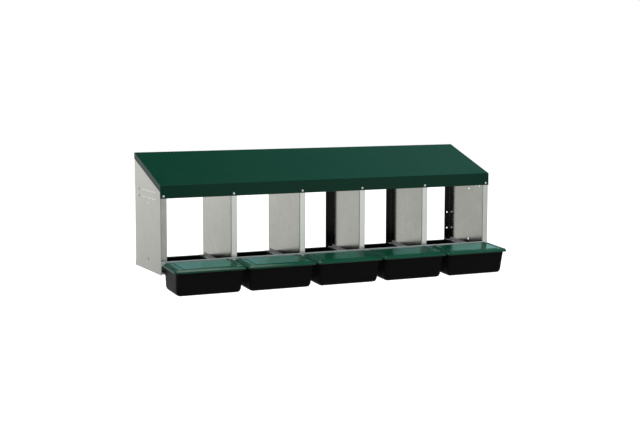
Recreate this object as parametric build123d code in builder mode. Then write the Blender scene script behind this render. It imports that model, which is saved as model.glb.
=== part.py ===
from build123d import *
import os
from math import atan2, cos, degrees, pi, radians, sin, tan

# A row of nesting bays in folded sheet, with a moulded roll-out tray and a hinged egg lid in each bay.
# Millimetres. X runs along the row, Y from the front to the wall, Z up.
# Heights are from the housing's bottom edge. Each piece is lowered when it is saved, so that the origin
# lies on the wall in the middle of the rear rail.

# Housing
BAYS = 5
DEPTH = 320.0  # front of the fascia to the wall
EAVE_HEIGHT = 351.0  # fold at the top of the fascia
RIDGE_HEIGHT = 462.0  # roof at the wall
FASCIA_HEIGHT = 51.0
ROOF_END_TURN = 26.0
ROOF_REAR_TURN = 24.0
SHEET = 1.0
BEND = 2.5  # outside radius of a fold
POST_WIDTH = 26.0  # front fold of a panel
POST_LIP = 8.0  # return along the free edge of a post
REAR_FOLD = 27.0  # fold of a panel on the wall
PARTITION_SHIFT = 6.0  # partitions to the left of the middle between two trays
RELIEF = 4.0  # corners cut from the folds under the roof and above the rear rail
ROOF_SEAT = 0.2  # play between a panel and the roof

# Holes in the end panels
VENT_COLUMNS = 8
VENT_ROWS = 2
VENT_PITCH = 27.5
VENT_DIAMETER = 9.0
FLATS = 12  # sides of the small round forms that repeat
VENT_BACK = 154.0  # middle of the vents from the wall
VENT_HEIGHT = 305.0
JOIN_DIAMETER = 8.5  # bolts two boxes side by side
JOIN_BACK = 165.0
JOIN_HEIGHTS = (46.0, 271.0)
WALL_HOLE_DIAMETER = 7.0
WALL_HOLE_HEIGHTS = (78.0, 150.0, 398.0)

# Front sill and rear rail
SILL_TOP = 54.0
SILL_HEIGHT = 8.0
SILL_HEM = 5.0
SILL_TAB = 18.0  # height of the sill where it crosses a post
RAIL_HEIGHT = 24.0
RAIL_FOOT = 18.0

# Rivets
RIVET_SHANK = 4.8
RIVET_HEAD = 9.5
RIVET_CROWN = 4.5  # flat top of the head
RIVET_HEAD_HEIGHT = 2.0
RIVET_TAIL = 2.0  # shank beyond the sheets
RIVET_PLAY = 0.1  # all round in its hole
FASCIA_RIVET_RISE = 9.0  # above the fascia's lower edge
SILL_RIVET_DROP = 10.5  # below the sill's upper edge

# Tray: a shallow nest pan inside the housing and a deep egg tub in front of it, on one tilted bed
TILT = 4.0  # degrees, falling to the front
LEDGE_HEIGHT = 2.5  # top of the runners at the posts
WALL = 2.5
PAN_WIDTH = 236.0  # sets the pitch of the bays
PAN_SIDE_ROOM = 32.0  # to the middle between two trays
PAN_REAR_ROOM = 30.0  # to the wall
PAN_DRAFT = 3.0  # degrees
PAN_CORNER = 8.0  # cut off the rear corners
PAN_LIP = 8.0  # rim that hangs on the runners
FLOOR_DROP = 10.0  # nest floor below the runners
TUB_RIM_HEIGHT = 41.6  # above the bed
TUB_DEPTH = 100.0
TUB_STEP = 21.0  # wider than the pan, each side
TUB_FRONT = 151.0  # from the posts
TUB_REAR = 6.0
TUB_SIDE_DRAFT = 7.0  # narrower at the base, each side
TUB_FRONT_DRAFT = 8.0
TUB_REAR_DRAFT = 3.0
TUB_CORNER = 16.5
TUB_REAR_CORNER = 4.0  # cut off
TUB_BASE_ROUND = 14.0
TUB_BASE_STEPS = 2  # facets round the base outside, and half as many inside
TUB_LIP = 4.0
CORNER_STEPS = 4  # facets round a moulded corner
RUN_PLAY = 0.3  # between pieces that slide or swing past each other

# Runners
RUNNER_START = 10.0  # behind the posts
RUNNER_REAR_ROOM = 15.0  # to the wall
RUNNER_WEB = 14.0
RUNNER_REACH = 5.0  # under the rim of the tray
HOLD_DOWN = 18.0  # length of the tongue over the rim at the back

# Lid and hinge
LID_OVERHANG = 5.0  # beyond the rim of the tub
LID_WALL = 2.5
LID_SKIRT = 6.0  # upright edge
LID_BEVEL_RISE = 6.0
LID_BEVEL_RUN = 13.0
LID_CORNER = 15.0
LID_PANEL_RISE = 1.2
LID_PANEL_MARGIN = 8.0
LID_RIBS = 5
LID_RIB_PITCH = 28.0
LID_RIB_WIDTH = 12.0
LID_RIB_RISE = 3.5
LID_RIB_LENGTH = 30.0
HINGE_FRONT = 13.0  # axis in front of the posts
HINGE_DROP = 5.0  # axis below the top of the lid
ROD_DIAMETER = 5.0
ROD_SEAT = 0.05  # rod in the tray
ROD_RUN = 0.1  # rod in the lid
ROD_END = 2.0  # beyond the ears
SLEEVE_RADIUS = 4.5  # rolled rear edge of the lid
SLEEVE_GAP = 8.0  # between the sleeve and an ear
EAR_RADIUS = 6.0
EAR_WIDTH = 9.0
EAR_CHAMFER = 3.5
EAR_NOTCH = 8.0  # lid kept clear in front of the axis at the ears
EAR_CLEAR = 4.0  # lid kept clear beside the ears and the rod

# Lines that several pieces share
bay_pitch = PAN_WIDTH + 2 * PAN_SIDE_ROOM
row_length = BAYS * bay_pitch
end_face = row_length / 2 - SHEET
front_face = -DEPTH + SHEET
rear_face = -SHEET
fascia_bottom = EAVE_HEIGHT - FASCIA_HEIGHT
fascia_rivet_height = fascia_bottom + FASCIA_RIVET_RISE
sill_rivet_height = SILL_TOP - SILL_RIVET_DROP
roof_rise = (RIDGE_HEIGHT - EAVE_HEIGHT) / DEPTH
bay_centres = [bay_pitch * (i - (BAYS - 1) / 2) for i in range(BAYS)]
partition_faces = [bay_pitch * (i - BAYS / 2) - PARTITION_SHIFT for i in range(1, BAYS)]
panel_faces = [-end_face, *partition_faces, end_face]
fold_sides = [1 if x < 0 else -1 for x in panel_faces]  # all folds turn to the middle of the row
post_centres = [x + side * POST_WIDTH / 2 for x, side in zip(panel_faces, fold_sides)]
post_foot = SILL_TOP - SILL_TAB
rivet_hole = RIVET_SHANK / 2 + RIVET_PLAY
pan_top = RUN_PLAY + WALL
pan_length = DEPTH - PAN_REAR_ROOM
runner_end = DEPTH - SHEET - RUNNER_REAR_ROOM
tub_half = PAN_WIDTH / 2 + TUB_STEP
way_front = TUB_REAR + TUB_REAR_DRAFT + 2 * WALL
tub_base = TUB_RIM_HEIGHT - TUB_DEPTH
bevel = atan2(LID_BEVEL_RISE, LID_BEVEL_RUN)
lid_half = tub_half + TUB_LIP + LID_OVERHANG
lid_front = TUB_FRONT + TUB_LIP + LID_OVERHANG
lid_top = TUB_RIM_HEIGHT + RUN_PLAY + LID_WALL / cos(bevel) + (LID_BEVEL_RUN - LID_OVERHANG) * tan(bevel)
lid_shoulder = lid_top - LID_BEVEL_RISE
lid_flat_half = lid_half - LID_BEVEL_RUN
hinge_height = lid_top - HINGE_DROP
rod_half = PAN_WIDTH / 2 + EAR_WIDTH + ROD_END

# The bed that tray, lid and runners share: its origin is between the posts, on top of the runners.
# On bed_section X stays X and Y is the height above the bed. On hinge_section Z runs along the rod.
bed = Plane(
    origin=(0, front_face, LEDGE_HEIGHT),
    x_dir=(1, 0, 0),
    z_dir=(0, -sin(radians(TILT)), cos(radians(TILT))),
)
bed_section = Plane(origin=bed.origin, x_dir=bed.x_dir, z_dir=-bed.y_dir)
hinge_section = Plane(
    origin=bed.from_local_coords((0, -HINGE_FRONT, hinge_height)), x_dir=bed.y_dir, z_dir=bed.x_dir
)


def roof_top(y):
    return RIDGE_HEIGHT + y * roof_rise


def panel_top(y):
    return roof_top(y) - SHEET / cos(atan2(roof_rise, 1)) - ROOF_SEAT


def save(drawn, name):
    piece = drawn.moved(Location((0, 0, -RAIL_HEIGHT / 2)))
    piece.label = name
    export_step(piece, f"parts/{name}.step")


def folded_panel(x_face, side):
    """A panel with its face at x_face, and with its post and rear fold turned to one side."""
    with BuildPart() as panel:
        with BuildSketch(Plane.XY):
            with BuildLine():
                FilletPolyline(
                    (x_face + side * POST_WIDTH, front_face + POST_LIP),
                    (x_face + side * POST_WIDTH, front_face),
                    (x_face, front_face),
                    (x_face, rear_face),
                    (x_face + side * REAR_FOLD, rear_face),
                    radius=BEND,
                )
                offset(amount=SHEET, side=Side.RIGHT if side > 0 else Side.LEFT)
            make_face()
        extrude(amount=RIDGE_HEIGHT)
        under_roof = Plane(origin=(0, 0, panel_top(0)), x_dir=(1, 0, 0), z_dir=(0, -roof_rise, 1))
        split(bisect_by=under_roof, keep=Keep.BOTTOM)
        with BuildSketch(Plane.YZ.offset(x_face)):
            upper_corners = [(y, panel_top(y)) for y in (front_face, rear_face)]
            with Locations(*upper_corners, (rear_face, 0)):
                Rectangle(2 * RELIEF, 2 * RELIEF)
        extrude(amount=2 * REAR_FOLD, both=True, mode=Mode.SUBTRACT)
        # the post ends with the sill, so that the rim of the tray slides past under it
        with BuildSketch(Plane.XZ.offset(-front_face)):
            with Locations((x_face + side * BEND, 0)):
                Rectangle(POST_WIDTH, post_foot, align=(Align.MIN if side > 0 else Align.MAX, Align.MIN))
        extrude(amount=-2 * POST_LIP, mode=Mode.SUBTRACT)
        with BuildSketch(Plane.XZ.offset(-front_face)):
            post_centre = x_face + side * POST_WIDTH / 2
            with Locations((post_centre, fascia_rivet_height), (post_centre, sill_rivet_height)):
                RegularPolygon(rivet_hole, FLATS)
        extrude(amount=2 * SHEET, both=True, mode=Mode.SUBTRACT)
    return panel.part


def end_panel(side):
    """A panel folded inwards, with its vents, the holes to the next box and its wall holes."""
    x_face = side * end_face
    blank = folded_panel(x_face, -side)
    with BuildPart() as panel:
        add(blank)
        with BuildSketch(Plane.YZ.offset(x_face)):
            with Locations((-VENT_BACK, VENT_HEIGHT)):
                with GridLocations(VENT_PITCH, VENT_PITCH, VENT_COLUMNS, VENT_ROWS):
                    RegularPolygon(VENT_DIAMETER / 2, FLATS)
            with Locations(*[(-JOIN_BACK, height) for height in JOIN_HEIGHTS]):
                Circle(JOIN_DIAMETER / 2)
        extrude(amount=2 * SHEET, both=True, mode=Mode.SUBTRACT)
        with BuildSketch(Plane.XZ.offset(-rear_face)):
            with Locations(*[(x_face - side * REAR_FOLD / 2, height) for height in WALL_HOLE_HEIGHTS]):
                Circle(WALL_HOLE_DIAMETER / 2)
        extrude(amount=2 * SHEET, both=True, mode=Mode.SUBTRACT)
    return panel.part


# Roof: fascia, slope and rear turn-down in one folded sheet, with its two ends turned down
with BuildPart() as roof:
    with BuildSketch(Plane.YZ.offset(-row_length / 2)):
        with BuildLine():
            FilletPolyline(
                (-DEPTH, fascia_bottom),
                (-DEPTH, EAVE_HEIGHT),
                (0, RIDGE_HEIGHT),
                (0, RIDGE_HEIGHT - ROOF_REAR_TURN),
                radius=BEND,
            )
            offset(amount=SHEET, side=Side.RIGHT)
        make_face()
    extrude(amount=row_length)
    with BuildSketch(Plane.YZ.offset(-row_length / 2)):
        with BuildLine():
            Polyline(
                (front_face, roof_top(front_face) - SHEET / 2),
                (rear_face, roof_top(rear_face) - SHEET / 2),
                (rear_face, roof_top(rear_face) - ROOF_END_TURN),
                (front_face, roof_top(front_face) - ROOF_END_TURN),
                close=True,
            )
        make_face()
    turned_end = extrude(amount=SHEET)
    mirror(turned_end, about=Plane.YZ)
    with BuildSketch(Plane.XZ.offset(DEPTH)):
        with Locations(*[(x, fascia_rivet_height) for x in post_centres]):
            RegularPolygon(rivet_hole, FLATS)
    extrude(amount=2 * SHEET, both=True, mode=Mode.SUBTRACT)

# Sill: a strip across the posts, hemmed along its upper edge, with a tab down each post
with BuildPart() as front_sill:
    with BuildSketch(Plane.XZ.offset(-front_face)):
        with Locations((0, SILL_TOP)):
            Rectangle(2 * end_face, SILL_HEIGHT, align=(Align.CENTER, Align.MAX))
        with Locations(*[(x, SILL_TOP) for x in post_centres]):
            Rectangle(POST_WIDTH, SILL_TAB, align=(Align.CENTER, Align.MAX))
    extrude(amount=SHEET)
    with BuildSketch(Plane.XZ.offset(DEPTH)):
        with Locations((0, SILL_TOP)):
            Rectangle(2 * end_face, SILL_HEM, align=(Align.CENTER, Align.MAX))
    extrude(amount=SHEET)
    fillet(front_sill.edges().filter_by(Axis.X).group_by(Axis.Z)[-1], 0.9 * SHEET)
    with BuildSketch(Plane.XZ.offset(DEPTH)):
        with Locations(*[(x, sill_rivet_height) for x in post_centres]):
            RegularPolygon(rivet_hole, FLATS)
    extrude(amount=2 * SHEET, both=True, mode=Mode.SUBTRACT)

# Rear rail: an angle along the wall that the panels' rear folds and lower edges are welded to
with BuildPart() as rear_rail:
    with BuildSketch(Plane.YZ.offset(-end_face)):
        with BuildLine():
            FilletPolyline((0, RAIL_HEIGHT), (0, -SHEET), (-RAIL_FOOT, -SHEET), radius=BEND)
            offset(amount=SHEET, side=Side.RIGHT)
        make_face()
    extrude(amount=2 * end_face)


def runner(x_web, x_edge):
    """An angle from a panel face to under the tray's rim, with a tongue over the rim at the back."""
    to_right = x_edge > x_web
    with BuildPart() as angle:
        with BuildSketch(bed_section.offset(-RUNNER_START)):
            with BuildLine():
                Polyline((x_web, RUNNER_WEB), (x_web, -SHEET), (x_edge, -SHEET))
                offset(amount=SHEET, side=Side.LEFT if to_right else Side.RIGHT)
            make_face()
        extrude(amount=RUNNER_START - runner_end)
        with BuildSketch(bed_section.offset(-runner_end)):
            with Locations((x_web, pan_top + RUN_PLAY)):
                Rectangle(
                    abs(x_edge - x_web), SHEET, align=(Align.MIN if to_right else Align.MAX, Align.MIN)
                )
        extrude(amount=HOLD_DOWN)
    return angle.part


def moulded_outline(half_width, front, rear, front_radius, rear_cut):
    """A rectangle on the bed, rounded in front and cut off behind.

    Front and rear are measured forwards from the posts.
    """
    right = [(half_width, -front)]
    if front_radius:
        turns = [radians(90 * i / CORNER_STEPS) for i in range(CORNER_STEPS + 1)]
        x_turn = half_width - front_radius
        y_turn = front_radius - front
        right = [(x_turn + front_radius * sin(a), y_turn - front_radius * cos(a)) for a in turns]
    if rear_cut:
        right += [(half_width, -rear - rear_cut), (half_width - rear_cut, -rear)]
    else:
        right += [(half_width, -rear)]
    return Polyline(*right, *[(-x, y) for x, y in reversed(right)], close=True)


def tub_form(wall, steps):
    """The tub's outside, or its inside when the wall is given: drafted sides and a rounded base."""
    base_round = TUB_BASE_ROUND - wall
    turns = [radians(90 * i / steps) for i in range(steps + 1)]
    levels = [(TUB_RIM_HEIGHT, 0)]
    levels += [(tub_base + wall + base_round * (1 - sin(a)), base_round * (1 - cos(a))) for a in turns]
    with BuildPart() as form:
        for height, tuck in levels:
            draft = (TUB_RIM_HEIGHT - height) / TUB_DEPTH
            inset = wall + tuck
            with BuildSketch(bed.offset(height)):
                with BuildLine():
                    moulded_outline(
                        tub_half - draft * TUB_SIDE_DRAFT - inset,
                        TUB_FRONT - draft * TUB_FRONT_DRAFT - inset,
                        TUB_REAR + draft * TUB_REAR_DRAFT + inset,
                        TUB_CORNER - inset,
                        TUB_REAR_CORNER,
                    )
                make_face()
        loft(ruled=True)
    return form.part


def pan_form(wall, front):
    """The nest pan's outside, or its inside when the wall is given."""
    with BuildPart() as form:
        with BuildSketch(bed.offset(pan_top)):
            with BuildLine():
                moulded_outline(PAN_WIDTH / 2 - wall, front, wall - pan_length, 0, PAN_CORNER)
            make_face()
        extrude(amount=-(pan_top + FLOOR_DROP + WALL - wall), taper=PAN_DRAFT)
    return form.part


def lid_form(half_width, front, corner, foot, shoulder, top, run):
    """An upright skirt and the bevel above it; the rear end runs past the hinge."""
    with BuildPart() as form:
        with BuildSketch(bed.offset(shoulder)) as outline:
            with BuildLine():
                moulded_outline(half_width, front, -run, corner, 0)
            make_face()
        extrude(outline.sketch, amount=foot - shoulder)
        extrude(outline.sketch, amount=top - shoulder, taper=degrees(atan2(run, top - shoulder)))
    return form.part


# Tray
tub_outside = tub_form(0, TUB_BASE_STEPS)
tub_inside = tub_form(WALL, TUB_BASE_STEPS // 2)
pan_outside = pan_form(0, TUB_REAR + WALL)
pan_inside = pan_form(WALL, way_front)
with BuildPart() as nest_tray:
    add(pan_outside)
    add(tub_outside)
    # rim of the pan, on the runners
    with BuildSketch(bed.offset(RUN_PLAY)):
        with BuildLine():
            moulded_outline(
                PAN_WIDTH / 2 + PAN_LIP, TUB_REAR, -pan_length - PAN_LIP, 0, PAN_CORNER
            )
        make_face()
    extrude(amount=WALL)
    # rim of the tub, under the lid
    with BuildSketch(bed.offset(TUB_RIM_HEIGHT)):
        with BuildLine():
            moulded_outline(
                tub_half + TUB_LIP, TUB_FRONT + TUB_LIP, TUB_REAR, TUB_CORNER + TUB_LIP, TUB_REAR_CORNER
            )
        make_face()
    extrude(amount=-WALL)
    add(tub_inside, mode=Mode.SUBTRACT)
    add(pan_inside, mode=Mode.SUBTRACT)
    # the eggs' way from the nest into the tub
    with BuildSketch(bed.offset(pan_top)):
        with BuildLine():
            moulded_outline(PAN_WIDTH / 2 - WALL, way_front, 0, 0, 0)
        make_face()
    extrude(amount=TUB_RIM_HEIGHT, mode=Mode.SUBTRACT)
    # ears for the hinge rod
    for side in (-1, 1):
        with BuildSketch(hinge_section.offset(side * PAN_WIDTH / 2)) as ear:
            with Locations((0, EAR_RADIUS)):
                Rectangle(2 * EAR_RADIUS, 3 * EAR_RADIUS, align=(Align.CENTER, Align.MAX))
            chamfer(ear.vertices().group_by(Axis.Z)[-1], EAR_CHAMFER)
        extrude(amount=side * EAR_WIDTH)
    with BuildSketch(hinge_section):
        RegularPolygon(ROD_DIAMETER / 2 + ROD_SEAT, FLATS, major_radius=False)
    extrude(amount=rod_half + RUN_PLAY, both=True, mode=Mode.SUBTRACT)

# Hinge rod
with BuildPart() as lid_rod:
    with BuildSketch(hinge_section):
        Circle(ROD_DIAMETER / 2)
    extrude(amount=rod_half, both=True)

# Lid
lid_outside = lid_form(
    lid_half, lid_front, LID_CORNER, lid_shoulder - LID_SKIRT, lid_shoulder, lid_top, LID_BEVEL_RUN
)
lid_inside = lid_form(
    lid_half - LID_WALL,
    lid_front - LID_WALL,
    LID_CORNER - LID_WALL,
    lid_shoulder - 2 * LID_SKIRT,
    lid_shoulder - LID_WALL * tan(pi / 4 - bevel / 2),
    lid_top - LID_WALL,
    LID_BEVEL_RUN - LID_WALL + LID_WALL * tan(bevel / 2),
)
with BuildPart() as egg_lid:
    add(lid_outside)
    add(lid_inside, mode=Mode.SUBTRACT)
    split(bisect_by=bed_section.offset(HINGE_FRONT), keep=Keep.TOP)
    # raised middle of the top
    with BuildSketch(bed.offset(lid_top)):
        with BuildLine():
            moulded_outline(
                lid_half - LID_RIB_LENGTH - LID_PANEL_MARGIN,
                lid_front - LID_BEVEL_RUN - LID_PANEL_MARGIN,
                HINGE_FRONT + LID_PANEL_MARGIN,
                0,
                0,
            )
        make_face()
    extrude(amount=LID_PANEL_RISE, taper=45)
    # ribs across both side bevels
    rib_front = lid_front - LID_CORNER - LID_RIB_WIDTH
    for side in (-1, 1):
        for i in range(LID_RIBS):
            with BuildSketch(bed_section.offset(rib_front - i * LID_RIB_PITCH)):
                with BuildLine():
                    Polyline(
                        (side * (lid_half - LID_RIB_LENGTH), lid_top - LID_WALL / 2),
                        (side * (lid_half - LID_RIB_LENGTH + LID_RIB_RISE), lid_top + LID_RIB_RISE),
                        (side * lid_flat_half, lid_top + LID_RIB_RISE),
                        (side * (lid_half - LID_WALL / 2), lid_shoulder + LID_RIB_RISE),
                        (side * (lid_half - LID_WALL / 2), lid_shoulder),
                        (side * lid_flat_half, lid_top - LID_WALL / 2),
                        close=True,
                    )
                make_face()
            extrude(amount=LID_RIB_WIDTH)
    # clear of the ears and the ends of the rod
    notch_start = PAN_WIDTH / 2 - EAR_CLEAR
    notch_end = rod_half + EAR_CLEAR
    with BuildSketch(bed.offset(lid_top + LID_RIB_RISE)):
        with Locations(*[(side * (notch_start + notch_end) / 2, -HINGE_FRONT) for side in (-1, 1)]):
            Rectangle(notch_end - notch_start, 2 * EAR_NOTCH)
    extrude(amount=-3 * LID_SKIRT, mode=Mode.SUBTRACT)
    # rear edge rolled round the rod
    with BuildSketch(hinge_section):
        RegularPolygon(SLEEVE_RADIUS, FLATS)
    extrude(amount=PAN_WIDTH / 2 - SLEEVE_GAP, both=True)
    with BuildSketch(hinge_section):
        Circle(ROD_DIAMETER / 2 + ROD_RUN)
    extrude(amount=rod_half, both=True, mode=Mode.SUBTRACT)

# Rivet: its head is above the XY plane, and the two sheets that it grips are below
with BuildPart() as rivet:
    with BuildSketch():
        RegularPolygon(RIVET_HEAD / 2, FLATS)
    with BuildSketch(Plane.XY.offset(RIVET_HEAD_HEIGHT)):
        RegularPolygon(RIVET_CROWN / 2, FLATS)
    loft(ruled=True)
    with BuildSketch():
        RegularPolygon(RIVET_SHANK / 2, FLATS)
    extrude(amount=-2 * SHEET - RIVET_TAIL)


def rivet_row(height):
    """One rivet in every post, with its head on the front of the roof or sill."""
    with BuildPart() as row:
        with Locations(*[Location((x, -DEPTH, height), (90, 0, 0)) for x in post_centres]):
            add(rivet.part)
    return row.part


os.makedirs("parts", exist_ok=True)
save(roof.part, "roof")
save(end_panel(-1), "end_panel_left")
save(end_panel(1), "end_panel_right")
for number in range(1, BAYS):
    save(folded_panel(panel_faces[number], fold_sides[number]), f"partition_{number}")
save(front_sill.part, "front_sill")
save(rear_rail.part, "rear_rail")
ledge_half = PAN_WIDTH / 2 + PAN_LIP - RUNNER_REACH
sheet_middles = [x + side * SHEET / 2 for x, side in zip(panel_faces, fold_sides)]
left_walls = [x + SHEET / 2 for x in sheet_middles[:-1]]
right_walls = [x - SHEET / 2 for x in sheet_middles[1:]]
for number, (centre, left, right) in enumerate(zip(bay_centres, left_walls, right_walls), 1):
    save(runner(left, centre - ledge_half), f"tray_runner_left_{number}")
    save(runner(right, centre + ledge_half), f"tray_runner_right_{number}")
    for piece, name in ((nest_tray, "nest_tray"), (lid_rod, "lid_rod"), (egg_lid, "egg_lid")):
        save(piece.part.moved(Location((centre, 0, 0))), f"{name}_{number}")
save(rivet_row(fascia_rivet_height), "fascia_rivets")
save(rivet_row(sill_rivet_height), "sill_rivets")
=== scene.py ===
from math import cos, pi, radians, sin

import bmesh
import bpy
from bpy.props import FloatProperty, FloatVectorProperty, IntProperty, PointerProperty
from mathutils import Matrix, Vector


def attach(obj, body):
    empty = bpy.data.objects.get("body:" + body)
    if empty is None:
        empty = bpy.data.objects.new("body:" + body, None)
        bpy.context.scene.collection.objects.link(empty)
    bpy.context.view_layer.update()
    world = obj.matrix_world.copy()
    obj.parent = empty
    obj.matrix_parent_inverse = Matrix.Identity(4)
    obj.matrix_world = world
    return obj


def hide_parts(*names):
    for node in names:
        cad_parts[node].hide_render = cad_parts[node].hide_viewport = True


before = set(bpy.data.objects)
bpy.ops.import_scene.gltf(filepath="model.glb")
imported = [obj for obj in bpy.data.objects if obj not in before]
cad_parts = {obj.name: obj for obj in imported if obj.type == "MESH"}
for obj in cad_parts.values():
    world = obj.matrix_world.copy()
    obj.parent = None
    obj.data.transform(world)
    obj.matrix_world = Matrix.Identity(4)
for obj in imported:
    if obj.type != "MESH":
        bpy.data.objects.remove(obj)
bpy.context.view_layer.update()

bl_info = {
    "name": "Roll-away nesting box",
    "version": (1, 0, 0),
    "blender": (4, 5, 0),
    "location": "3D View > Sidebar > Nesting box",
    "description": "Finishes, rivets and studio for a row of nesting bays with slide-out trays",
    "category": "Object",
}

BAYS = range(1, 6)
BED_SLOPE = radians(4)  # trays and lids fall to the front
LID_MIDDLE = 0.114  # half the width of a lid's raised middle, between the ribs

# Colours of worn places and of the rods
CUT_ZINC = (0.72, 0.73, 0.73)
WORN_COATING = (0.045, 0.13, 0.095)
SCUFFED_COATING = (0.05, 0.11, 0.085)
RUBBED_TRAY = (0.02, 0.019, 0.018)
RUBBED_LID = (0.09, 0.27, 0.21)
RUBBED_RIVET = (0.9, 0.9, 0.9)
ROD_ZINC = (0.62, 0.63, 0.63)

# Set rivets
DOME_HEIGHT = 0.002
DOME_SHARE = 0.85  # of that height, above the head's straight edge
DOME_STEPS = 6
PIT_DEPTH = 0.0007
PIT_RISE = 0.0001  # from the middle of the mandrel's pit to its side
PIT_RIM = 0.0002  # rounding between the pit and the dome
SHANK_SHARE = 0.47  # of the head's radius
TAIL_SHARE = 1.25  # of the shank's radius
TAIL_HEIGHTS = (0.0016, 0.001, 0.0004)  # above the rivet's end: where it starts, is full and closes

# Camera
IMAGE_WIDTH = 640  # pixels of the picture that the focal length is measured in
SENSOR_WIDTH = 36.0  # millimetres

# Studio light
# A ramp is the value where it starts and ends, and what it gives there, which is 0 and 1 if not said.
# Turns go from +Y to +X. Right, back and rise are the X, Y and Z of a direction of length 1.
WHITE = (1.0, 1.0, 1.0)
FILL = (-0.2, 0.8, 0.0, 1.15)  # plain light by rise

# Room that reflections see
DIM_ROOM = 0.02
BEHIND = (-0.1, 0.25)  # by back
UNDER = (0.04, -0.02)  # by rise
BACKDROP = (radians(-30), radians(-21), 0.58, 0.86)  # by turn: it falls off to the left
AHEAD = (0.0, -0.3)  # by back
SIDES = (-0.3, 0.3)  # by right
BEFORE = (0.55, 0.3)  # what is before the box, on its left and on its right
BEFORE_TOP = (0.06, 0.24, 1.0, 0.3)  # by rise

# Cards behind the box, which reflections see
CARD_COLOUR = (0.5, 1.0, 1.0)
LOW_BAND = ((0.06, 0.14), (0.36, 0.3))  # rises that the lids see
INNER_CARD = (radians(27.3), radians(23.2), 0.0, 0.56)  # by turn to either side
OUTER_CARD = (radians(31.9), radians(33.2), 0.0, 1.35)
OUTER_CARD_END = (radians(33.4), radians(34.6), 1.0, 0.5)
LEFT_GAIN = (0.0, -0.2, 1.0, 1.7)  # by turn: the low cards are brighter on the left
HIGH_BAND = ((0.42, 0.5), (0.85, 0.75))  # rises that the roof sees
HIGH_CARD = (radians(24.5), radians(40), 0.0, 0.42)

# Floor, and its ramps in reflections by place
FLOOR_RADIUS = 14.0
FLOOR_COLOUR = (0.5, 0.5, 0.5)
FLOOR_GLOW = 0.8  # makes the floor white to the camera
FLOOR_SIDES = (-0.5, 0.5)  # along X
FLOOR_DEPTH = (-1.0, 0.2)  # along Y
FLOOR_DISTANCE = (6.0, 13.5, 0.86, 1.03)  # from the middle


# Settings


class SheetSettings(bpy.types.PropertyGroup):
    """Galvanised sheet of the panels, sill, rail and runners."""

    colour: FloatVectorProperty(
        name="Zinc", description="Colour of the zinc coat", subtype="COLOR", size=3, min=0, max=1,
        default=(0.57, 0.575, 0.52),
    )
    # painted light: a paler, bluish colour that, on a less metallic copy of the zinc, makes the sill render
    # lighter
    sill_lit_colour: FloatVectorProperty(
        name="Lit sill zinc", description="Colour of the sill", subtype="COLOR", size=3, min=0, max=1,
        default=(0.66, 0.75, 0.74),
    )
    # painted shade: a darker colour that, on a matt, barely metallic copy of the zinc, stands in for the
    # shade under the trays
    rubbed: FloatVectorProperty(
        name="Shaded runner zinc", description="Colour of the runners", subtype="COLOR", size=3, min=0, max=1,
        default=(0.48, 0.46, 0.47),
    )
    # painted shade: near-black colour for the shade on the rear folds' fronts, deep in the bays
    shade_on_folds: FloatVectorProperty(
        name="Shade on folds", description="Colour of the painted shade on the rear folds' fronts", subtype="COLOR", size=3,
        min=0, max=1, default=(0.034, 0.036, 0.034),
    )
    roughness: FloatProperty(
        name="Roughness", description="Roughness of the bare zinc", subtype="FACTOR", min=0, max=1,
        default=0.17,
    )
    spangle: FloatProperty(
        name="Spangle", description="Size of one zinc crystal", subtype="DISTANCE", unit="LENGTH",
        default=0.012,
    )
    edge: FloatProperty(
        name="Cut edge", description="Width of the bright line along a cut edge", subtype="DISTANCE",
        unit="LENGTH", default=0.0008,
    )


class CoatingSettings(bpy.types.PropertyGroup):
    """Coloured coating of the roof."""

    colour: FloatVectorProperty(
        name="Coating", description="Colour of the roof coating", subtype="COLOR", size=3, min=0, max=1,
        default=(0.0015, 0.036, 0.0195),
    )
    roughness: FloatProperty(
        name="Roughness", description="Roughness of the coating", subtype="FACTOR", min=0, max=1,
        default=0.23,
    )


class MouldingSettings(bpy.types.PropertyGroup):
    """Moulded trays and lids."""

    tray_colour: FloatVectorProperty(
        name="Trays", description="Colour of the trays", subtype="COLOR", size=3, min=0, max=1,
        default=(0.0044, 0.0041, 0.004),
    )
    lid_colour: FloatVectorProperty(
        name="Lids", description="Colour of the lids", subtype="COLOR", size=3, min=0, max=1,
        default=(0.0018, 0.0585, 0.0285),
    )
    edge_radius: FloatProperty(
        name="Edge radius", description="Rounding of the mouldings' edges", subtype="DISTANCE", unit="LENGTH",
        default=0.0007,
    )
    grain: FloatProperty(
        name="Grain", description="Size of the moulded grain", subtype="DISTANCE", unit="LENGTH",
        default=0.0012,
    )


class FastenerSettings(bpy.types.PropertyGroup):
    """Blind rivets."""

    # painted highlight: pale like aluminium, and the colour also stands in for the rivet domes' broad
    # highlights
    metal: FloatVectorProperty(
        name="Rivets", description="Colour of the rivets", subtype="COLOR", size=3, min=0, max=1,
        default=(0.90, 0.91, 0.91),
    )
    mandrel: FloatProperty(
        name="Mandrel", description="Diameter of the broken mandrel in a rivet head", subtype="DISTANCE",
        unit="LENGTH", default=0.0022,
    )
    sides: IntProperty(name="Sides", description="Segments round a rivet", min=8, max=96, default=32)


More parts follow.
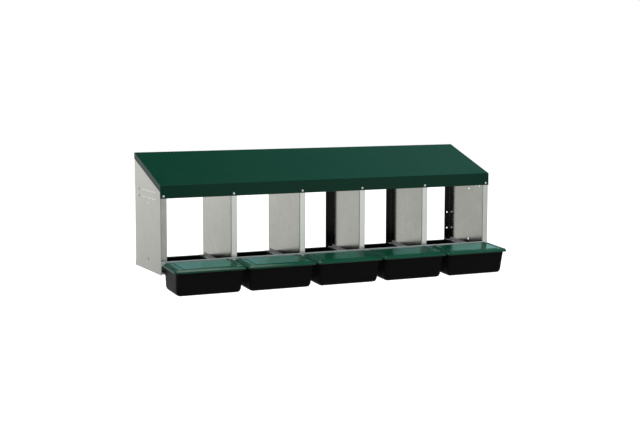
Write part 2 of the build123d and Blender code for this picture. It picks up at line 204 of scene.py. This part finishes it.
class StageSettings(bpy.types.PropertyGroup):
    """Studio and camera."""

    floor_drop: FloatProperty(
        name="Floor", description="Height of the floor from the part's origin", subtype="DISTANCE",
        unit="LENGTH", default=-0.95,
    )
    camera_place: FloatVectorProperty(
        name="Camera", description="Place of the camera", subtype="TRANSLATION", unit="LENGTH", size=3,
        default=(-2.3753, -5.1084, 0.7906),
    )
    yaw: FloatProperty(
        name="Yaw", description="Turn of the camera to the right", subtype="ANGLE", default=radians(25.762),
    )
    pitch: FloatProperty(
        name="Pitch", description="Tilt of the camera down", subtype="ANGLE", default=radians(6.34),
    )
    roll: FloatProperty(
        name="Roll", description="Turn of the camera about its line of sight", subtype="ANGLE",
        default=radians(0.144),
    )
    focal_pixels: FloatProperty(
        name="Focal length", description="Focal length in pixels of the picture", default=1305.95,
    )


class NestBoxSettings(bpy.types.PropertyGroup):
    """All settings of the nesting box."""

    sheet: PointerProperty(type=SheetSettings)
    coating: PointerProperty(type=CoatingSettings)
    moulding: PointerProperty(type=MouldingSettings)
    fastener: PointerProperty(type=FastenerSettings)
    stage: PointerProperty(type=StageSettings)


# Node helpers


def place(tree, kind, inputs=None, **settings):
    """Adds a shader node. An input is a value or another node's output."""
    node = tree.nodes.new("ShaderNode" + kind)
    for name, value in settings.items():
        setattr(node, name, value)
    for socket, value in (inputs or {}).items():
        if isinstance(value, bpy.types.NodeSocket):
            tree.links.new(value, node.inputs[socket])
        else:
            node.inputs[socket].default_value = value
    return node


def maths(tree, operation, first, second=0.0, third=0.0):
    return place(tree, "Math", {0: first, 1: second, 2: third}, operation=operation).outputs[0]


def product(tree, first, *others):
    for other in others:
        first = maths(tree, "MULTIPLY", first, other)
    return first


def raised(tree, base, *steps):
    """Adds to a value what each step gives: a mask and its amount."""
    for mask, amount in steps:
        base = maths(tree, "MULTIPLY_ADD", mask, amount, base)
    return base


def spread(tree, value, low, high, to_low=0.0, to_high=1.0):
    """Maps a value from one range to another, without going past the ends."""
    node = place(tree, "MapRange", {"Value": value, 1: low, 2: high, 3: to_low, 4: to_high}, clamp=True)
    return node.outputs[0]


def tint(tree, factor, first, second, blend="MIX"):
    """Mixes two colours. Each is a plain colour or another node's output."""
    inputs = {0: factor}
    for socket, colour in ((6, first), (7, second)):
        inputs[socket] = colour if isinstance(colour, bpy.types.NodeSocket) else (*colour, 1.0)
    return place(tree, "Mix", inputs, data_type="RGBA", blend_type=blend).outputs[2]


def grey(tree, value):
    return place(tree, "CombineColor", {0: value, 1: value, 2: value}).outputs[0]


def shaded(tree, colour, shade):
    """A plain colour that a shade of about 1 makes lighter and darker."""
    return tint(tree, 1.0, colour, grey(tree, shade), "MULTIPLY")


def occlusion(tree, distance):
    """1 where a surface lies open, and less where others stand within the distance."""
    return place(tree, "AmbientOcclusion", {"Distance": distance}, samples=8).outputs["AO"]


# Effects that several finishes share


def effect(name, amounts, masks):
    """A new shader node group that takes a vector and amounts and puts out masks, with its inner sockets."""
    group = bpy.data.node_groups.new(name, "ShaderNodeTree")
    group.interface.new_socket("Vector", in_out="INPUT", socket_type="NodeSocketVector")
    for label, value in amounts.items():
        socket = group.interface.new_socket(label, in_out="INPUT", socket_type="NodeSocketFloat")
        socket.default_value = value
    for label in masks:
        group.interface.new_socket(label, in_out="OUTPUT", socket_type="NodeSocketFloat")
    entry = group.nodes.new("NodeGroupInput").outputs
    leave = group.nodes.new("NodeGroupOutput").inputs
    return group, entry, leave


def noise(tree, vector, scale, **inputs):
    node = place(tree, "TexNoise", {"Vector": vector, "Scale": scale, **inputs})
    return node.outputs["Fac"]


def build_mottle(name):
    """Slow cloudy change over a surface, about 1 in the middle."""
    group, entry, leave = effect(name, {"Size": 0.1, "Amount": 0.1}, ("Shade", "Mask"))
    scale = maths(group, "DIVIDE", 1.0, entry["Size"])
    mask = spread(group, noise(group, entry["Vector"], scale, Detail=4.0, Roughness=0.55), 0.3, 0.7)
    low = maths(group, "SUBTRACT", 1.0, entry["Amount"])
    swing = maths(group, "MULTIPLY", entry["Amount"], 2.0)
    group.links.new(raised(group, low, (mask, swing)), leave["Shade"])
    group.links.new(mask, leave["Mask"])
    return group


def build_edge_band(name):
    """Mask of the narrow band along edges, broken up by fine noise."""
    group, entry, leave = effect(name, {"Width": 0.001, "Break": 0.5}, ("Mask",))
    rounded = place(group, "Bevel", {"Radius": entry["Width"]}, samples=4).outputs[0]
    flat = place(group, "NewGeometry").outputs["Normal"]
    along = place(group, "VectorMath", {0: rounded, 1: flat}, operation="DOT_PRODUCT").outputs["Value"]
    band = spread(group, along, 0.99, 0.82)
    broken = spread(group, noise(group, entry["Vector"], 140.0, Detail=3.0), 0.35, 0.6)
    kept = maths(group, "SUBTRACT", 1.0, entry["Break"])
    share = raised(group, kept, (broken, entry["Break"]))
    group.links.new(product(group, band, share), leave["Mask"])
    return group


def build_grain(name):
    """Height of a fine moulded or sprayed grain, with a coarser wave under it."""
    group, entry, leave = effect(name, {"Size": 0.001, "Wave": 0.3}, ("Height", "Fleck"))
    scale = maths(group, "DIVIDE", 1.0, entry["Size"])
    fine = noise(group, entry["Vector"], scale, Detail=2.0)
    wave = noise(group, entry["Vector"], maths(group, "MULTIPLY", scale, 0.06), Detail=1.0)
    group.links.new(raised(group, fine, (wave, entry["Wave"])), leave["Height"])
    group.links.new(spread(group, fine, 0.4, 0.6), leave["Fleck"])
    return group


def build_scuffs(name):
    """Mask of fine rubbed lines along the first axis of the vector."""
    group, entry, leave = effect(name, {"Size": 0.01, "Amount": 0.3}, ("Mask",))
    drawn = place(group, "Mapping", {"Vector": entry["Vector"], "Scale": (0.06, 1.0, 1.0)}).outputs[0]
    scale = maths(group, "DIVIDE", 1.0, entry["Size"])
    thin = spread(group, noise(group, drawn, scale, Detail=5.0, Roughness=0.7), 0.55, 0.68)
    patches = spread(group, noise(group, entry["Vector"], 7.0, Detail=2.0), 0.45, 0.65)
    group.links.new(product(group, thin, patches, entry["Amount"]), leave["Mask"])
    return group


EFFECTS = {"Mottle": build_mottle, "Edge band": build_edge_band, "Grain": build_grain, "Scuffs": build_scuffs}


def use(tree, name, **inputs):
    """Places an effect in a material. Its group is built at its first use."""
    group = bpy.data.node_groups.get(name) or EFFECTS[name](name)
    return place(tree, "Group", inputs, node_tree=group).outputs


# Finishes


def finish(name):
    """A new material with its principled shader and the part's coordinates."""
    material = bpy.data.materials.new(name)
    material.use_nodes = True
    tree = material.node_tree
    shader = tree.nodes["Principled BSDF"]
    where = place(tree, "TexCoord").outputs["Object"]
    return material, tree, shader, where


def connect(tree, shader, **sockets):
    """Links outputs to a shader, or sets its own sockets to plain values."""
    for name, value in sockets.items():
        socket = shader.inputs[name.replace("_", " ")]
        if isinstance(value, bpy.types.NodeSocket):
            tree.links.new(value, socket)
        else:
            socket.default_value = value


def bumped(tree, height, strength, distance, rounding=0.0):
    """Normals of a height, on edges that are rounded by the given radius."""
    node = place(tree, "Bump", {"Height": height, "Strength": strength, "Distance": distance})
    if rounding:
        soft = place(tree, "Bevel", {"Radius": rounding}, samples=8)
        tree.links.new(soft.outputs[0], node.inputs["Normal"])
    return node.outputs[0]


def zinc_finish(name, colour, settings, metal, dull=0.0):
    """Galvanised sheet: crystals, cloudy film, faint rolling lines, bright cut edges and painted shade on the
    folds at the wall.
    """
    material, tree, shader, where = finish(name)
    crystals = place(tree, "TexVoronoi", {"Vector": where, "Scale": 1.0 / settings.spangle}).outputs["Color"]
    cell = place(tree, "SeparateColor", {0: crystals}).outputs[0]
    cloud = use(tree, "Mottle", Vector=where, Size=0.2, Amount=0.05)
    film = use(tree, "Mottle", Vector=where, Size=0.04, Amount=0.025)
    edge = use(tree, "Edge band", Vector=where, Width=settings.edge, Break=0.3)
    upright = place(tree, "Mapping", {"Vector": where, "Rotation": (0.0, pi / 2, 0.0)}).outputs[0]
    rolled = use(tree, "Scuffs", Vector=upright, Size=0.004, Amount=0.35)
    shade = product(tree, cloud["Shade"], film["Shade"], spread(tree, cell, 0.0, 1.0, 0.975, 1.025))
    zinc = shaded(tree, colour, raised(tree, shade, (rolled["Mask"], -0.06)))
    zinc = tint(tree, product(tree, edge["Mask"], metal), zinc, CUT_ZINC)
    # painted shade: near-black colour on the front of the folds that lie against the wall, for the shade deep
    # in the bays
    facing = place(tree, "SeparateXYZ", {0: place(tree, "NewGeometry").outputs["Normal"]}).outputs["Y"]
    depth = place(tree, "SeparateXYZ", {0: where}).outputs["Y"]
    # painted shade: front-facing folds at the back are darkened
    painted_fold_shade = product(tree, spread(tree, facing, -0.6, -0.9), spread(tree, depth, -0.02, -0.01))
    zinc = tint(tree, painted_fold_shade, zinc, settings.shade_on_folds)
    rough = settings.roughness + dull - 0.02
    rough = raised(tree, rough, (cell, 0.03), (film["Mask"], 0.03), (edge["Mask"], -0.08))
    height = raised(tree, cell, (rolled["Mask"], 0.5))
    normal = bumped(tree, height, strength=0.02, distance=0.0003)
    connect(tree, shader, Metallic=metal, Base_Color=zinc, Roughness=rough, Normal=normal)
    return material


def coating_finish(settings):
    """Satin coating on the roof sheet, with a slight orange peel and thin, lighter edges."""
    material, tree, shader, where = finish("roof_coating")
    cloud = use(tree, "Mottle", Vector=where, Size=0.35, Amount=0.06)
    film = use(tree, "Mottle", Vector=where, Size=0.05, Amount=0.04)
    grain = use(tree, "Grain", Vector=where, Size=0.0022, Wave=0.6)
    edge = use(tree, "Edge band", Vector=where, Width=0.0016, Break=0.35)
    scuff = use(tree, "Scuffs", Vector=where, Size=0.006, Amount=0.3)
    coat = shaded(tree, settings.colour, product(tree, cloud["Shade"], film["Shade"]))
    coat = tint(tree, product(tree, edge["Mask"], 0.5), coat, WORN_COATING)
    coat = tint(tree, product(tree, scuff["Mask"], 0.15), coat, SCUFFED_COATING)
    rough = raised(tree, settings.roughness - 0.04, (film["Mask"], 0.08), (scuff["Mask"], 0.1))
    normal = bumped(tree, grain["Height"], strength=0.03, distance=0.0003)
    connect(tree, shader, Specular_IOR_Level=0.1, Base_Color=coat, Roughness=rough, Normal=normal)
    return material


def moulded_finish(name, colour, rubbed, grain_size, roughness, dulled, specular, rounding):
    """Moulded plastic with a fine grain, rubbed edges and faint marks, painted shade in creases, dull where
    walls stand close.
    """
    material, tree, shader, where = finish(name)
    cloud = use(tree, "Mottle", Vector=where, Size=0.12, Amount=0.08)
    grain = use(tree, "Grain", Vector=where, Size=grain_size, Wave=0.5)
    edge = use(tree, "Edge band", Vector=where, Width=0.0012, Break=0.3)
    scuff = use(tree, "Scuffs", Vector=where, Size=0.004, Amount=0.5)
    fleck = spread(tree, grain["Fleck"], 0.0, 1.0, 0.96, 1.04)
    # painted shade: the colour darkens where occlusion finds creases and recesses
    crease_shade = spread(tree, occlusion(tree, 0.008), 0.45, 0.9, 0.35, 1.0)
    plastic = shaded(tree, colour, product(tree, cloud["Shade"], fleck, crease_shade))
    plastic = tint(tree, product(tree, edge["Mask"], 0.5), plastic, rubbed)
    plastic = tint(tree, product(tree, scuff["Mask"], 0.25), plastic, rubbed)
    close = spread(tree, occlusion(tree, 0.15), 0.75, 0.35)
    rough = raised(tree, roughness - 0.04, (cloud["Mask"], 0.08), (scuff["Mask"], 0.12), (close, dulled))
    normal = bumped(tree, grain["Height"], strength=0.06, distance=0.0003, rounding=rounding)
    connect(tree, shader, Specular_IOR_Level=specular, Base_Color=plastic, Roughness=rough, Normal=normal)
    return material


def rivet_finish(settings):
    """Pale rivet metal with a cloudy film and rubbed edges; the pale colour on a mostly non-metallic shader
    is partly a painted highlight.
    """
    material, tree, shader, where = finish("rivet_metal")
    film = use(tree, "Mottle", Vector=where, Size=0.002, Amount=0.08)
    edge = use(tree, "Edge band", Vector=where, Width=0.0005, Break=0.2)
    metal = shaded(tree, settings.metal, film["Shade"])
    metal = tint(tree, product(tree, edge["Mask"], 0.4), metal, RUBBED_RIVET)
    rough = raised(tree, 0.24, (film["Mask"], 0.12))
    normal = bumped(tree, film["Mask"], strength=0.05, distance=0.0002)
    # painted highlight: pale colour with low Metallic stands in for the domes' broad highlights
    connect(tree, shader, Metallic=0.3, Base_Color=metal, Roughness=rough, Normal=normal)
    return material


def rod_finish():
    """Drawn rod with a bright zinc plating and fine lines along it."""
    material, tree, shader, where = finish("plated_rod")
    film = use(tree, "Mottle", Vector=where, Size=0.01, Amount=0.08)
    drawn = use(tree, "Scuffs", Vector=where, Size=0.0006, Amount=0.6)
    metal = shaded(tree, ROD_ZINC, raised(tree, film["Shade"], (drawn["Mask"], -0.25)))
    rough = raised(tree, 0.2, (film["Mask"], 0.12))
    normal = bumped(tree, drawn["Mask"], strength=0.1, distance=0.0002)
    connect(tree, shader, Metallic=1.0, Base_Color=metal, Roughness=rough, Normal=normal)
    return material


# Piece helpers


def dress(names, material):
    """Gives CAD nodes a finish."""
    for name in names:
        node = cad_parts[name]
        node.data.materials.clear()
        node.data.materials.append(material)


def press_ribs(names):
    """Presses the lids' ribs down to the height of the raised middle, by a modifier."""
    up = Vector((0, -sin(BED_SLOPE), cos(BED_SLOPE)))
    group = bpy.data.node_groups.new("Pressed ribs", "GeometryNodeTree")
    group.interface.new_socket("Geometry", in_out="INPUT", socket_type="NodeSocketGeometry")
    group.interface.new_socket("Level", in_out="INPUT", socket_type="NodeSocketFloat")
    group.interface.new_socket("Geometry", in_out="OUTPUT", socket_type="NodeSocketGeometry")
    entry = group.nodes.new("NodeGroupInput").outputs
    leave = group.nodes.new("NodeGroupOutput").inputs
    where = group.nodes.new("GeometryNodeInputPosition").outputs[0]
    height = place(group, "VectorMath", {0: where, 1: up}, operation="DOT_PRODUCT").outputs["Value"]
    excess = maths(group, "MAXIMUM", maths(group, "SUBTRACT", height, entry["Level"]), 0.0)
    shift = place(group, "VectorMath", {0: -up, "Scale": excess}, operation="SCALE").outputs[0]
    pressed = group.nodes.new("GeometryNodeSetPosition")
    group.links.new(entry["Geometry"], pressed.inputs["Geometry"])
    group.links.new(shift, pressed.inputs["Offset"])
    group.links.new(pressed.outputs[0], leave["Geometry"])
    level_socket = group.interface.items_tree["Level"].identifier
    for name in names:
        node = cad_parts[name]
        points = [v.co for v in node.data.vertices]
        middle = (min(p.x for p in points) + max(p.x for p in points)) / 2
        press = node.modifiers.new("pressed_ribs", "NODES")
        press.node_group = group
        press[level_socket] = max(p.dot(up) for p in points if abs(p.x - middle) < LID_MIDDLE)


def soften(names, radius):
    """Rounds the edges of CAD nodes by modifiers."""
    for name in names:
        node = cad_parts[name]
        node.modifiers.new("join_faces", "WELD").merge_threshold = 1e-5
        bevel = node.modifiers.new("edge_radius", "BEVEL")
        bevel.width = radius
        bevel.segments = 2
        bevel.limit_method = "ANGLE"
        bevel.angle_limit = radians(35)
        bevel.use_clamp_overlap = True
        node.modifiers.new("even_normals", "WEIGHTED_NORMAL").weight = 100


def clusters(node, gap=0.02):
    """Lowest and highest corners of a node's solids, which stand apart along X."""
    points = sorted((v.co.copy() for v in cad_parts[node].data.vertices), key=lambda p: p.x)
    groups = [[points[0]]]
    for point in points[1:]:
        if point.x - groups[-1][-1].x > gap:
            groups.append([])
        groups[-1].append(point)
    return [(Vector(map(min, *g)), Vector(map(max, *g))) for g in groups]


def rivet_profile(head, length, pit):
    """Radius and height of a set rivet, from the pit in its dome to its spread tail. The top is at 0."""
    shank = SHANK_SHARE * head
    tail = TAIL_SHARE * shank
    rim = pit + PIT_RIM
    points = [(0.0, -PIT_DEPTH), (0.8 * pit, PIT_RISE - PIT_DEPTH), (pit, -PIT_RIM)]
    for i in range(DOME_STEPS + 1):
        turn = pi / 2 * i / DOME_STEPS
        points.append((rim + (head - rim) * sin(turn), -DOME_SHARE * DOME_HEIGHT * (1 - cos(turn))))
    points += [(head, -DOME_HEIGHT), (shank, -DOME_HEIGHT), (shank, TAIL_HEIGHTS[0] - length)]
    points += [(tail, height - length) for height in TAIL_HEIGHTS[1:]]
    points += [(0.9 * shank, -length), (0.0, -length)]
    return points


def lathe(mesh, profile, sides, where):
    """Adds a closed form turned about Z from (radius, height) points that start and end on the axis."""
    rings = []
    for radius, height in profile:
        turns = [2 * pi * i / sides for i in range(sides)] if radius else [0.0]
        corners = [Vector((radius * cos(a), radius * sin(a), height)) for a in turns]
        rings.append([mesh.verts.new(where @ corner) for corner in corners])
    for low, high in zip(rings, rings[1:]):
        for i in range(sides):
            j = i + 1
            corners = [low[i % len(low)], low[j % len(low)], high[j % len(high)], high[i % len(high)]]
            mesh.faces.new(list(dict.fromkeys(corners))).smooth = True


# Studio


def rays(tree):
    """Masks of what is seen directly and of what is seen in a mirror or through glass."""
    ray = place(tree, "LightPath").outputs
    return ray["Is Camera Ray"], maths(tree, "MAXIMUM", ray["Is Glossy Ray"], ray["Is Transmission Ray"])


def band(tree, value, rise, fall):
    """Mask of a stretch of values, from where it starts and is full to where it falls off."""
    return product(tree, spread(tree, value, *rise), spread(tree, value, *fall))


def studio_world(scene):
    """White for the camera. Mirrors see cards behind the box, and a dim room above and before it."""
    world = bpy.data.worlds.new("studio")
    scene.world = world
    world.use_nodes = True
    tree = world.node_tree
    tree.nodes.clear()
    direct, mirrored = rays(tree)
    where = place(tree, "TexCoord").outputs["Generated"]
    right, back, rise = place(tree, "SeparateXYZ", {0: where}).outputs
    turn = maths(tree, "ARCTAN2", right, back)
    aside = maths(tree, "ABSOLUTE", turn)
    inner = spread(tree, aside, *INNER_CARD)
    outer = product(tree, spread(tree, aside, *OUTER_CARD), spread(tree, aside, *OUTER_CARD_END))
    low_cards = product(tree, maths(tree, "ADD", inner, outer), spread(tree, turn, *LEFT_GAIN))
    low_cards = product(tree, low_cards, band(tree, rise, *LOW_BAND))
    high_card = product(tree, spread(tree, turn, *HIGH_CARD), band(tree, rise, *HIGH_BAND))
    behind = spread(tree, back, *BEHIND)
    cards = product(tree, maths(tree, "ADD", low_cards, high_card), behind)
    under = product(tree, spread(tree, rise, *UNDER), spread(tree, turn, *BACKDROP), behind)
    before = product(tree, spread(tree, back, *AHEAD), spread(tree, right, *SIDES, *BEFORE))
    before = product(tree, before, spread(tree, rise, *BEFORE_TOP))
    plain = maths(tree, "MAXIMUM", maths(tree, "ADD", under, before), DIM_ROOM)
    channels = [raised(tree, plain, (cards, share)) for share in CARD_COLOUR]
    room = place(tree, "CombineColor", dict(enumerate(channels))).outputs[0]
    around = tint(tree, mirrored, grey(tree, spread(tree, rise, *FILL)), room)
    light = place(tree, "Background", {"Color": tint(tree, direct, around, WHITE)})
    leave = place(tree, "OutputWorld")
    tree.links.new(light.outputs[0], leave.inputs[0])


def floor_finish():
    """Pale floor, white to the camera where no shadow falls. Mirrors see it dim before the box."""
    material, tree, shader, where = finish("pale_floor")
    direct, mirrored = rays(tree)
    connect(
        tree, shader, Base_Color=(*FLOOR_COLOUR, 1.0), Roughness=0.9, Specular_IOR_Level=0.1,
        Emission_Color=(*WHITE, 1.0), Emission_Strength=product(tree, direct, FLOOR_GLOW),
    )
    right, back, _ = place(tree, "SeparateXYZ", {0: where}).outputs
    distance = place(tree, "VectorMath", {0: where}, operation="LENGTH").outputs["Value"]
    fall = spread(tree, maths(tree, "ARCTAN2", right, back), *BACKDROP)
    before = spread(tree, right, *FLOOR_SIDES, *BEFORE)
    depth = spread(tree, back, *FLOOR_DEPTH, before, 1.0)
    strength = product(tree, depth, fall, spread(tree, distance, *FLOOR_DISTANCE))
    lit = place(tree, "Emission", {"Strength": strength})
    either = place(tree, "MixShader", {0: mirrored, 1: shader.outputs[0], 2: lit.outputs[0]})
    tree.links.new(either.outputs[0], tree.nodes["Material Output"].inputs["Surface"])
    return material


def studio_floor(scene, height):
    mesh = bpy.data.meshes.new("floor")
    disc = bmesh.new()
    bmesh.ops.create_circle(disc, cap_ends=True, segments=96, radius=FLOOR_RADIUS)
    disc.to_mesh(mesh)
    disc.free()
    mesh.materials.append(floor_finish())
    floor = bpy.data.objects.new("floor", mesh)
    floor.location.z = height
    scene.collection.objects.link(floor)


def soft_box(scene, name, at, aim, size, watts, colour=WHITE):
    """A rectangular lamp that faces a point."""
    lamp = bpy.data.lights.new(name, "AREA")
    lamp.shape = "RECTANGLE"
    lamp.size, lamp.size_y = size
    lamp.energy = watts
    lamp.color = colour
    box = bpy.data.objects.new(name, lamp)
    box.location = at
    box.rotation_euler = (Vector(aim) - Vector(at)).to_track_quat("-Z", "Y").to_euler()
    scene.collection.objects.link(box)


def studio_camera(scene, settings):
    """A camera that is turned to the right, tilted down and rolled."""
    data = bpy.data.cameras.new("camera")
    data.sensor_width = SENSOR_WIDTH
    data.lens = SENSOR_WIDTH * settings.focal_pixels / IMAGE_WIDTH
    data.clip_end = 100.0
    camera = bpy.data.objects.new("camera", data)
    level = Vector((sin(settings.yaw), cos(settings.yaw), 0.0))
    ahead = cos(settings.pitch) * level - sin(settings.pitch) * Vector((0.0, 0.0, 1.0))
    right = Vector((cos(settings.yaw), -sin(settings.yaw), 0.0))
    up = right.cross(ahead)
    rolled_right = cos(settings.roll) * right + sin(settings.roll) * up
    rolled_up = cos(settings.roll) * up - sin(settings.roll) * right
    turn = Matrix((rolled_right, rolled_up, -ahead)).transposed().to_4x4()
    camera.matrix_world = Matrix.Translation(settings.camera_place) @ turn
    scene.collection.objects.link(camera)
    scene.camera = camera


# Operators


class NESTBOX_OT_sheet(bpy.types.Operator):
    """Finish the galvanised panels, sill, rail and runners"""

    bl_idname = "nestbox.sheet"
    bl_label = "Galvanised sheet"

    def execute(self, context):
        settings = context.scene.nest_box.sheet
        panels = [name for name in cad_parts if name.startswith(("end_panel", "partition", "rear_rail"))]
        runners = [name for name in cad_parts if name.startswith("tray_runner")]
        dress(panels, zinc_finish("galvanised_sheet", settings.colour, settings, metal=1.0))
        # the sill gets a paler, bluish, less metallic copy of the zinc: painted light that makes it render
        # lighter
        dress(["front_sill"], zinc_finish("lit_sill_zinc", settings.sill_lit_colour, settings, metal=0.3))
        # painted shade: the runners get a darker, matt, barely metallic copy of the zinc for the shade under
        # the trays
        dress(runners, zinc_finish("shaded_runner_zinc", settings.rubbed, settings, metal=0.1, dull=0.4))
        return {"FINISHED"}


class NESTBOX_OT_roof(bpy.types.Operator):
    """Finish the coated roof sheet"""

    bl_idname = "nestbox.roof"
    bl_label = "Roof"

    def execute(self, context):
        dress(["roof"], coating_finish(context.scene.nest_box.coating))
        return {"FINISHED"}


class NESTBOX_OT_trays(bpy.types.Operator):
    """Finish the moulded trays and round their edges"""

    bl_idname = "nestbox.trays"
    bl_label = "Trays"

    def execute(self, context):
        settings = context.scene.nest_box.moulding
        material = moulded_finish(
            "tray_moulding", settings.tray_colour, RUBBED_TRAY, settings.grain,
            roughness=0.4, dulled=0.5, specular=0.1, rounding=0.003,
        )
        names = [f"nest_tray_{i}" for i in BAYS]
        dress(names, material)
        soften(names, settings.edge_radius)
        return {"FINISHED"}


class NESTBOX_OT_lids(bpy.types.Operator):
    """Finish the moulded lids, press their ribs and round their edges"""

    bl_idname = "nestbox.lids"
    bl_label = "Lids"

    def execute(self, context):
        settings = context.scene.nest_box.moulding
        material = moulded_finish(
            "lid_moulding", settings.lid_colour, RUBBED_LID, settings.grain,
            roughness=0.15, dulled=0.05, specular=0.5, rounding=0.004,
        )
        names = [f"egg_lid_{i}" for i in BAYS]
        dress(names, material)
        press_ribs(names)
        soften(names, settings.edge_radius)
        return {"FINISHED"}


class NESTBOX_OT_rods(bpy.types.Operator):
    """Finish the hinge rods"""

    bl_idname = "nestbox.rods"
    bl_label = "Hinge rods"

    def execute(self, context):
        dress([f"lid_rod_{i}" for i in BAYS], rod_finish())
        return {"FINISHED"}


class NESTBOX_OT_rivets(bpy.types.Operator):
    """Make domed blind rivets in place of the plain ones"""

    bl_idname = "nestbox.rivets"
    bl_label = "Rivets"

    def execute(self, context):
        settings = context.scene.nest_box.fastener
        material = rivet_finish(settings)
        to_front = Matrix.Rotation(pi / 2, 4, "X")
        for node in ("fascia_rivets", "sill_rivets"):
            rivets = bmesh.new()
            for low, high in clusters(node):
                profile = rivet_profile((high.x - low.x) / 2, high.y - low.y, settings.mandrel / 2)
                top = Vector(((low.x + high.x) / 2, low.y, (low.z + high.z) / 2))
                lathe(rivets, profile, settings.sides, Matrix.Translation(top) @ to_front)
            bmesh.ops.recalc_face_normals(rivets, faces=rivets.faces)
            mesh = bpy.data.meshes.new(node)
            rivets.to_mesh(mesh)
            rivets.free()
            mesh.materials.append(material)
            row = bpy.data.objects.new("domed_" + node, mesh)
            context.scene.collection.objects.link(row)
            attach(row, "housing")
            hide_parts(node)
        return {"FINISHED"}


class NESTBOX_OT_stage(bpy.types.Operator):
    """Make the floor, the studio light and the camera"""

    bl_idname = "nestbox.stage"
    bl_label = "Studio"

    def execute(self, context):
        scene = context.scene
        settings = scene.nest_box.stage
        scene.view_settings.view_transform = "Standard"
        studio_world(scene)
        studio_floor(scene, settings.floor_drop)
        soft_box(scene, "overhead_box", at=(-0.4, 0.0, 3.4), aim=(0, -0.2, 0.2), size=(3.4, 2.4), watts=50.0)
        soft_box(
            scene, "front_box", at=(2.28, -4.9, -0.05), aim=(0, -0.3, 0.1), size=(2.63, 1.7), watts=12.3,
            colour=(0.90, 0.95, 1.0),
        )
        studio_camera(scene, settings)
        return {"FINISHED"}


class NESTBOX_PT_panel(bpy.types.Panel):
    """Lists the steps that dress the nesting box"""

    bl_idname = "NESTBOX_PT_panel"
    bl_label = "Nesting box"
    bl_space_type = "VIEW_3D"
    bl_region_type = "UI"
    bl_category = "Nesting box"

    def draw(self, context):
        for step in STEPS:
            self.layout.operator(step.bl_idname)


STEPS = (
    NESTBOX_OT_sheet,
    NESTBOX_OT_roof,
    NESTBOX_OT_trays,
    NESTBOX_OT_lids,
    NESTBOX_OT_rods,
    NESTBOX_OT_rivets,
    NESTBOX_OT_stage,
)
CLASSES = (
    SheetSettings,
    CoatingSettings,
    MouldingSettings,
    FastenerSettings,
    StageSettings,
    NestBoxSettings,
    *STEPS,
    NESTBOX_PT_panel,
)


def register():
    for item in CLASSES:
        bpy.utils.register_class(item)
    bpy.types.Scene.nest_box = PointerProperty(type=NestBoxSettings)


def unregister():
    del bpy.types.Scene.nest_box
    for item in reversed(CLASSES):
        bpy.utils.unregister_class(item)


def main():
    register()
    bpy.ops.nestbox.sheet()
    bpy.ops.nestbox.roof()
    bpy.ops.nestbox.trays()
    bpy.ops.nestbox.lids()
    bpy.ops.nestbox.rods()
    bpy.ops.nestbox.rivets()
    bpy.ops.nestbox.stage()
    bpy.context.view_layer.update()


if __name__ == "__main__":
    main()
